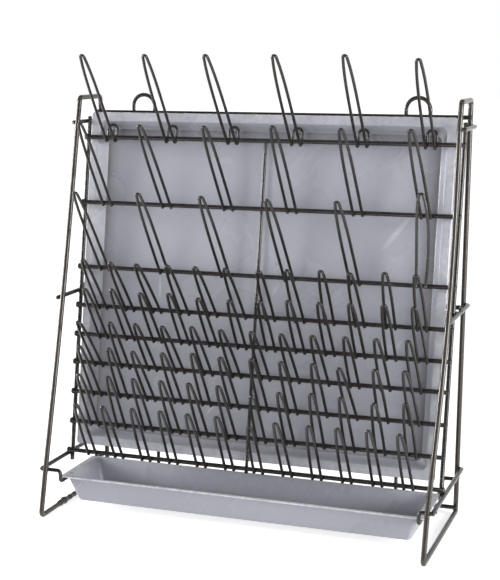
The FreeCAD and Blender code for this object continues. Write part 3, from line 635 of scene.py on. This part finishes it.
for side, sign in (("left", -1), ("right", 1)):
    rail = f"tray_rail_{side}"
    low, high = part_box(rail)
    inner, outer = sorted((low.x + HANGER * (sign > 0), high.x - HANGER * (sign < 0)), key=abs)
    front, rear, under_z, over_z = low.y + HANGER, high.y - HANGER, low.z + HANGER, high.z - HANGER
    corners = [
        (outer, front, over_z), (inner, front, over_z), (inner, front, under_z),
        (inner, rear, under_z), (inner, rear, over_z), (outer, rear, over_z),
    ]
    route, radii = with_ends(bent_route(corners, RAIL_BEND), HANGER, END_BEAD)
    surface = wire_surface(route[None], radii, unit(vector(1, 0.9, 0.8)))
    for y in (front, rear):
        end_run = vector(inner, y, over_z), vector(outer, y, over_z)
        surface = joined(surface, web_between(lines[f"strut_bottom_{side}"], CROSS, end_run, HANGER))
    piece(f"coated_{rail}", surface, panel_coating, "coated_wire", [rail])


# ---- Trays ----
# Vacuum-moulded from lavender-grey plastic sheet: a flat flange with a rolled edge, a soft lip, walls with a
# wide draft and a flat floor. The back tray leans behind the pegs, and the deeper drip tray lies on the
# rails. The rolled edges are rubbed pale and carry a painted highlight, painted highlights run along the lip
# and up the walls' corners, and painted shade darkens the floor at the foot of the walls.

TRAY_WALL = 1.5 * MM
BACK_LEAN = math.radians(8.98)
# The colour of the painted shade that darkens the floor at the foot of the walls.
TRAY_GRIME = (0.115, 0.108, 0.110)
# The pale colour serves the real scuffs and rubbed edges, and the painted highlights on edges, lip and
# corners.
TRAY_COLOUR, TRAY_WORN = (0.352, 0.356, 0.405), (0.72, 0.71, 0.74)
SCUFFS = (  # x and z, the angle above +X in degrees, half length and half width
    (0.1365, 0.2958, 52, 0.024, 0.0034), (-0.1138, 0.2285, 93, 0.013, 0.0016),
    (0.0140, 0.2334, 66, 0.007, 0.0013), (-0.0501, 0.1052, 52, 0.0085, 0.0015),
    (0.1474, 0.1880, 60, 0.007, 0.0014), (-0.0830, 0.0372, 0, 0.0022, 0.0012),
    (0.1649, 0.0372, 0, 0.003, 0.0011),
)
EDGE_RUB = 1 * MM  # how far the pale wear and its painted highlight reach from the rolled edge
GRIME_REACH = 7 * MM  # how far the painted shade reaches from the walls over the floor
FLOOR_LEAD = 14 * MM  # of the floor beside the walls, cut finely for the painted shade

plastic, given, put_out = new_group(
    "moulded_plastic",
    [("Worn", "NodeSocketFloat"), ("Grime", "NodeSocketFloat")],
    [("Colour", "NodeSocketColor"), ("Roughness", "NodeSocketFloat"), ("Height", "NodeSocketFloat")],
)
place = node(plastic, "TexCoord").outputs["Object"]
cloud = noise(plastic, place, 14, 3)
grain = noise(plastic, place, 600, 2)
slanted = [("Vector", place), ("Rotation", (0, -0.9, 0)), ("Scale", (0.05, 0.3, 0.0022))]
turned = node(plastic, "Mapping", slanted, vector_type="TEXTURE")
streaks = noise(plastic, turned.outputs[0], 1.0, 3, 0.6)
marks = 0.0
for x, z, angle, half_length, half_width in SCUFFS:
    spot = [("Vector", place), ("Location", (x, 0, z)), ("Rotation", (0, -math.radians(angle), 0))]
    spot.append(("Scale", (half_length, 1, half_width)))
    spot = node(plastic, "Mapping", spot, vector_type="TEXTURE").outputs[0]
    reach = node(plastic, "VectorMath", [(0, spot), (1, (1, 0, 1))], operation="MULTIPLY").outputs[0]
    reach = node(plastic, "VectorMath", [(0, reach)], operation="LENGTH").outputs[1]
    marks = combined(plastic, "MAXIMUM", marks, ramp(plastic, reach, 0.25, 1.0, 0.8, 0.0))
marks = combined(plastic, "MULTIPLY", marks, ramp(plastic, grain, 0.35, 0.6, 0.35, 1.0))
where = noise(plastic, place, 22, 2)
scuffs = combined(plastic, "MULTIPLY", ramp(plastic, streaks, 0.56, 0.86), ramp(plastic, where, 0.35, 0.85))
scuffs = combined(plastic, "MAXIMUM", combined(plastic, "MULTIPLY", scuffs, 0.25), marks)
# Pale wear with painted highlight on the rolled edges, painted highlight on the lip and the walls' corners.
rubbed = ramp(plastic, noise(plastic, place, 170, 4), 0.35, 0.65, 0.3, 1.0)
rubbed = combined(plastic, "MULTIPLY", given.outputs[0], rubbed)
# Painted shade: the floor darkened beside the walls, a little unevenly.
settled = ramp(plastic, noise(plastic, place, 60, 4), 0.3, 0.7, 0.75, 1.0)
settled = combined(plastic, "MULTIPLY", given.outputs[1], settled)
pale, deep = (*(c * 1.03 for c in TRAY_COLOUR), 1), (*(c * 0.96 for c in TRAY_COLOUR), 1)
tint = mixed(plastic, ramp(plastic, cloud, 0.1, 0.9), deep, pale)
tint = mixed(plastic, combined(plastic, "MULTIPLY", scuffs, 0.5), tint, (*TRAY_WORN, 1))
tint = mixed(plastic, combined(plastic, "MULTIPLY", rubbed, 0.75), tint, (*TRAY_WORN, 1))
tint = mixed(plastic, settled, tint, (*TRAY_GRIME, 1))
gloss = combined(plastic, "MULTIPLY_ADD", scuffs, 0.1, ramp(plastic, cloud, 0.1, 0.9, 0.24, 0.30))
plastic.links.new(tint, put_out.inputs[0])
plastic.links.new(gloss, put_out.inputs[1])
plastic.links.new(combined(plastic, "MULTIPLY_ADD", streaks, 0.4, grain), put_out.inputs[2])

tray_plastic, skin = skinned("tray_plastic", plastic, TRAY_COLOUR, 0.5, 0.12, 0.04 * MM)
tree = tray_plastic.node_tree
# The pale wear with painted highlights, and the painted shade, are read from the pan's attributes.
for label in ("Worn", "Grime"):
    measured = node(tree, "Attribute", attribute_name=label.lower()).outputs["Fac"]
    tree.links.new(measured, skin.inputs[label])


def rounded_ring(half_u, half_v, radius, step):
    """Points round rectangles, anticlockwise, and how far round a corner each is, sin(2 a). Each corner is an
    arc of `radius` about (half_u - radius, half_v - radius), and the sides are cut into equal parts."""
    turn = np.linspace(0, math.pi / 2, 9)
    arc = np.stack([np.cos(turn), np.sin(turn)], -1)
    sides = []
    for quarter, (su, sv) in enumerate(((1, 1), (-1, 1), (-1, -1), (1, -1))):
        spin = np.array([[math.cos(quarter * math.pi / 2), math.sin(quarter * math.pi / 2)],
                         [-math.sin(quarter * math.pi / 2), math.cos(quarter * math.pi / 2)]])
        centre = np.stack([su * (half_u - radius), sv * (half_v - radius)], -1)
        sides.append(centre[:, None] + radius[:, None, None] * (arc @ spin))
    rings, cornering = [], []
    for quarter, arcs in enumerate(sides):
        after = sides[(quarter + 1) % 4]
        parts = max(2, int(np.linalg.norm(after[0, 0] - arcs[0, -1]) / step))
        share = np.linspace(0, 1, parts, endpoint=False)[1:, None]
        rings += [arcs, arcs[:, -1:] + (after[:, :1] - arcs[:, -1:]) * share]
        cornering += [np.sin(2 * turn), 0 * share[:, 0]]
    return np.concatenate(rings, axis=1), np.concatenate(cornering)


def pan(width, height, depth, draft, end_edge, side_edge, corner, rim_corner, rounding, lip, step, soiled):
    """A pan's surface as rings[level, point] of (u, v, depth), with the wear and painted highlight and the
    painted shade of each point. The section is one rounded line: inner floor, wall, lip, flange, its edge,
    and back under to the outer floor. Pale wear with a painted highlight is exp(-(distance to the edge /
    EDGE_RUB)^2);
    there is less painted highlight on the lip, and 0.8 * sin(2 a) of it in the walls' corners. Painted shade,
    the given strength * exp(-distance to the wall / its reach), darkens the floor."""
    floor, slope = depth - TRAY_WALL, draft / depth
    section = bent_route(
        [
            (-slope * floor - 2 * rounding, floor, 0), (-slope * floor, floor, 0), (0, 0, 0),
            (end_edge, 0, 0), (end_edge, TRAY_WALL, 0), (TRAY_WALL, TRAY_WALL, 0),
            (TRAY_WALL - slope * depth, depth, 0), (-slope * depth - 2 * rounding, depth, 0),
        ],
        (rounding, lip, 0.9 * MM, 0.5 * MM, 0.6 * MM, rounding + TRAY_WALL),
        steps=7,
    )
    lead = np.linspace(-FLOOR_LEAD, 0, 9)[:-1, None] * [1, 0, 0] + section[0]
    section = np.concatenate([lead, section])
    grow, level = section[:, 0], section[:, 1]
    out = np.clip(grow / end_edge, 0, 1)
    half_u = width / 2 - end_edge + grow
    half_v = height / 2 - side_edge + np.where(grow > 0, out * side_edge, grow)
    rings, cornering = rounded_ring(half_u, half_v, corner + (rim_corner - corner) * out, step)
    rings = np.concatenate([rings, np.broadcast_to(level[:, None, None], (*rings.shape[:2], 1))], -1)
    # The rolled edge is rubbed pale with a painted highlight; the lip and the walls' corners get painted
    # highlight.
    edge_wear = np.exp(-(((grow - end_edge) / EDGE_RUB) ** 2))
    lip_wear = 0.35 * np.exp(-(((grow - 0.4 * lip) / (0.7 * lip)) ** 2))
    on_wall = (level > lip) & (grow < 0) & (grow > -slope * floor - 0.2 * MM)
    worn = ((edge_wear + lip_wear) * (level < TRAY_WALL))[:, None] + 0.8 * on_wall[:, None] * cornering
    # Painted shade on the floor, darkest at the foot of the walls.
    on_floor = np.arange(len(grow)) < len(lead) + 4
    grime = soiled * np.exp(-np.maximum(-slope * floor - grow, 0) / GRIME_REACH) * on_floor
    inward = vector(0, 0.3, 0.65, 0.9)[:, None, None]
    centre_in, centre_out = rings[:1] * [0, 0, 1], rings[-1:] * [0, 0, 1]
    inner = centre_in + (rings[:1] - centre_in) * inward
    outer = centre_out + (rings[-1:] - centre_out) * inward[::-1]
    rings = np.concatenate([inner, rings, outer])
    grime = np.broadcast_to(grime[:, None], worn.shape)
    return rings, *(np.pad(amounts, ((len(inward),) * 2, (0, 0))) for amounts in (worn, grime))


def tray(cad_node, pan_shape, origin, axes):
    """The pan's rings set in the rack: origin + u U + v V + depth W."""
    rings, worn, grime = pan_shape
    corners = (origin + rings @ np.array(axes)).reshape(-1, 3)
    surface = corners, ring_faces(1, *rings.shape[:2])
    piece(f"moulded_{cad_node}", surface, tray_plastic, "tray_plastic", [cad_node], worn=worn, grime=grime)


low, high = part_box("back_tray")
lean_sin, lean_cos = math.sin(BACK_LEAN), math.cos(BACK_LEAN)
height = (high.z - low.z - TRAY_WALL * lean_sin) / lean_cos
# In both pans the last argument sets how dark the painted shade at the foot of the walls is.
back_pan = pan(
    high.x - low.x, height, depth=13 * MM, draft=8 * MM, end_edge=9 * MM, side_edge=9 * MM, corner=7 * MM,
    rim_corner=3 * MM, rounding=1.8 * MM, lip=1.6 * MM, step=6 * MM, soiled=0.9,
)
origin = vector((low.x + high.x) / 2, low.y + height / 2 * lean_sin, high.z - height / 2 * lean_cos)
tray("back_tray", back_pan, origin, [(1, 0, 0), (0, lean_sin, lean_cos), (0, lean_cos, -lean_sin)])

low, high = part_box("drip_tray")
drip_pan = pan(
    high.x - low.x, high.y - low.y, depth=high.z - low.z, draft=8.5 * MM, end_edge=9 * MM, side_edge=4 * MM,
    corner=4 * MM, rim_corner=3 * MM, rounding=2.5 * MM, lip=1.4 * MM, step=3 * MM, soiled=0.3,
)
origin = vector((low.x + high.x) / 2, (low.y + high.y) / 2, high.z)
tray("drip_tray", drip_pan, origin, [(1, 0, 0), (0, 1, 0), (0, 0, -1)])


# ---- Floor, light and camera ----
# White matt paper lies under the rack. It glows a little, for the camera and in reflections only, so that it
# shows white and still takes the rack's shadow. Softboxes stand on both sides, in front and above.

FLOOR_GLOW = 0.7  # near the rack; further off it makes up for the lamps' falling light

floor_mesh = bpy.data.meshes.new("floor")
floor_mesh.from_pydata([(-9, -6, 0), (9, -6, 0), (9, 12, 0), (-9, 12, 0)], [], [(0, 1, 2, 3)])
floor = bpy.data.objects.new("floor", floor_mesh)
scene.collection.objects.link(floor)
paper = bpy.data.materials.new("white_paper")
paper.use_nodes = True
tree = paper.node_tree
tree.nodes.clear()
rays = node(tree, "LightPath")
seen = combined(tree, "MAXIMUM", rays.outputs["Is Camera Ray"], rays.outputs["Is Glossy Ray"])
seen = combined(tree, "MAXIMUM", seen, rays.outputs["Is Transmission Ray"])
place = node(tree, "TexCoord").outputs["Object"]
away = node(tree, "VectorMath", [(0, place)], operation="LENGTH").outputs[1]
matt = node(tree, "BsdfDiffuse", [("Color", (0.8, 0.8, 0.8, 1))])
strength = combined(tree, "MULTIPLY", seen, ramp(tree, away, 0.5, 2.0, FLOOR_GLOW, 1.0))
glow = node(tree, "Emission", [("Strength", strength)])
both = node(tree, "AddShader", [(0, matt.outputs[0]), (1, glow.outputs[0])])
node(tree, "OutputMaterial", [("Surface", both.outputs[0])])
floor_mesh.materials.append(paper)

# The room is dim: a little light comes from the sides and from above. Glossy rays find bright walls at the
# sides and the back, and the camera sees plain white.
world = bpy.data.worlds.new("studio")
scene.world = world
world.use_nodes = True
tree = world.node_tree
backdrop = tree.nodes["Background"]
rays = node(tree, "LightPath")
heading = node(tree, "SeparateXYZ", [(0, node(tree, "TexCoord").outputs["Generated"])])
sideways = ramp(tree, combined(tree, "ABSOLUTE", heading.outputs[0]), 0.45, 0.95, 0.07, 0.3)
overhead = ramp(tree, heading.outputs[2], 0.5, 1.0, 0.0, 0.15)
room = combined(tree, "ADD", sideways, overhead)
backward = combined(tree, "MAXIMUM", combined(tree, "ABSOLUTE", heading.outputs[0]), heading.outputs[1])
mirrored = ramp(tree, backward, 0.4, 0.95, 0.0, 0.9)
mirrored = combined(tree, "MULTIPLY", mirrored, rays.outputs["Is Glossy Ray"])
strength = combined(tree, "MAXIMUM", combined(tree, "MAXIMUM", room, mirrored), rays.outputs["Is Camera Ray"])
tree.links.new(strength, backdrop.inputs["Strength"])
backdrop.inputs["Color"].default_value = (1, 1, 1, 1)


def softbox(name, place, aim, size, power):
    lamp = bpy.data.lights.new(name, "AREA")
    lamp.shape, lamp.size, lamp.size_y = "RECTANGLE", *size
    lamp.energy = power
    stand = bpy.data.objects.new(name, lamp)
    scene.collection.objects.link(stand)
    stand.location = place
    stand.rotation_euler = (Vector(aim) - Vector(place)).to_track_quat("-Z", "Y").to_euler()
    return stand


softbox("softbox_right", (1.7, -0.55, 0.55), (0, 0, 0.22), (0.5, 0.9), 32)
softbox("softbox_left", (-1.6, -0.6, 0.8), (0, 0, 0.22), (0.5, 0.9), 6)
softbox("softbox_far_left", (-1.8, -0.25, 0.5), (0, 0, 0.22), (0.3, 0.7), 40)
softbox("softbox_front", (-0.7, -2.1, 0.5), (0, 0, 0.18), (1.0, 0.6), 18).visible_glossy = False
softbox("softbox_top", (0, -0.4, 1.9), (0, 0, 0.2), (1.2, 0.8), 2)

# The camera stands in front, right of the middle and as high as the top row, and looks slightly down.
camera = bpy.data.cameras.new("camera")
viewer = bpy.data.objects.new("camera", camera)
scene.collection.objects.link(viewer)
viewer.location = (0.43738, -1.26994, 0.4734)
viewer.rotation_euler = [math.radians(turn) for turn in (77.7172, 0.0667, 20.4073)]
camera.lens = 84.099
camera.shift_x, camera.shift_y = 0.05555, 0.09627
scene.camera = viewer

bpy.context.view_layer.update()
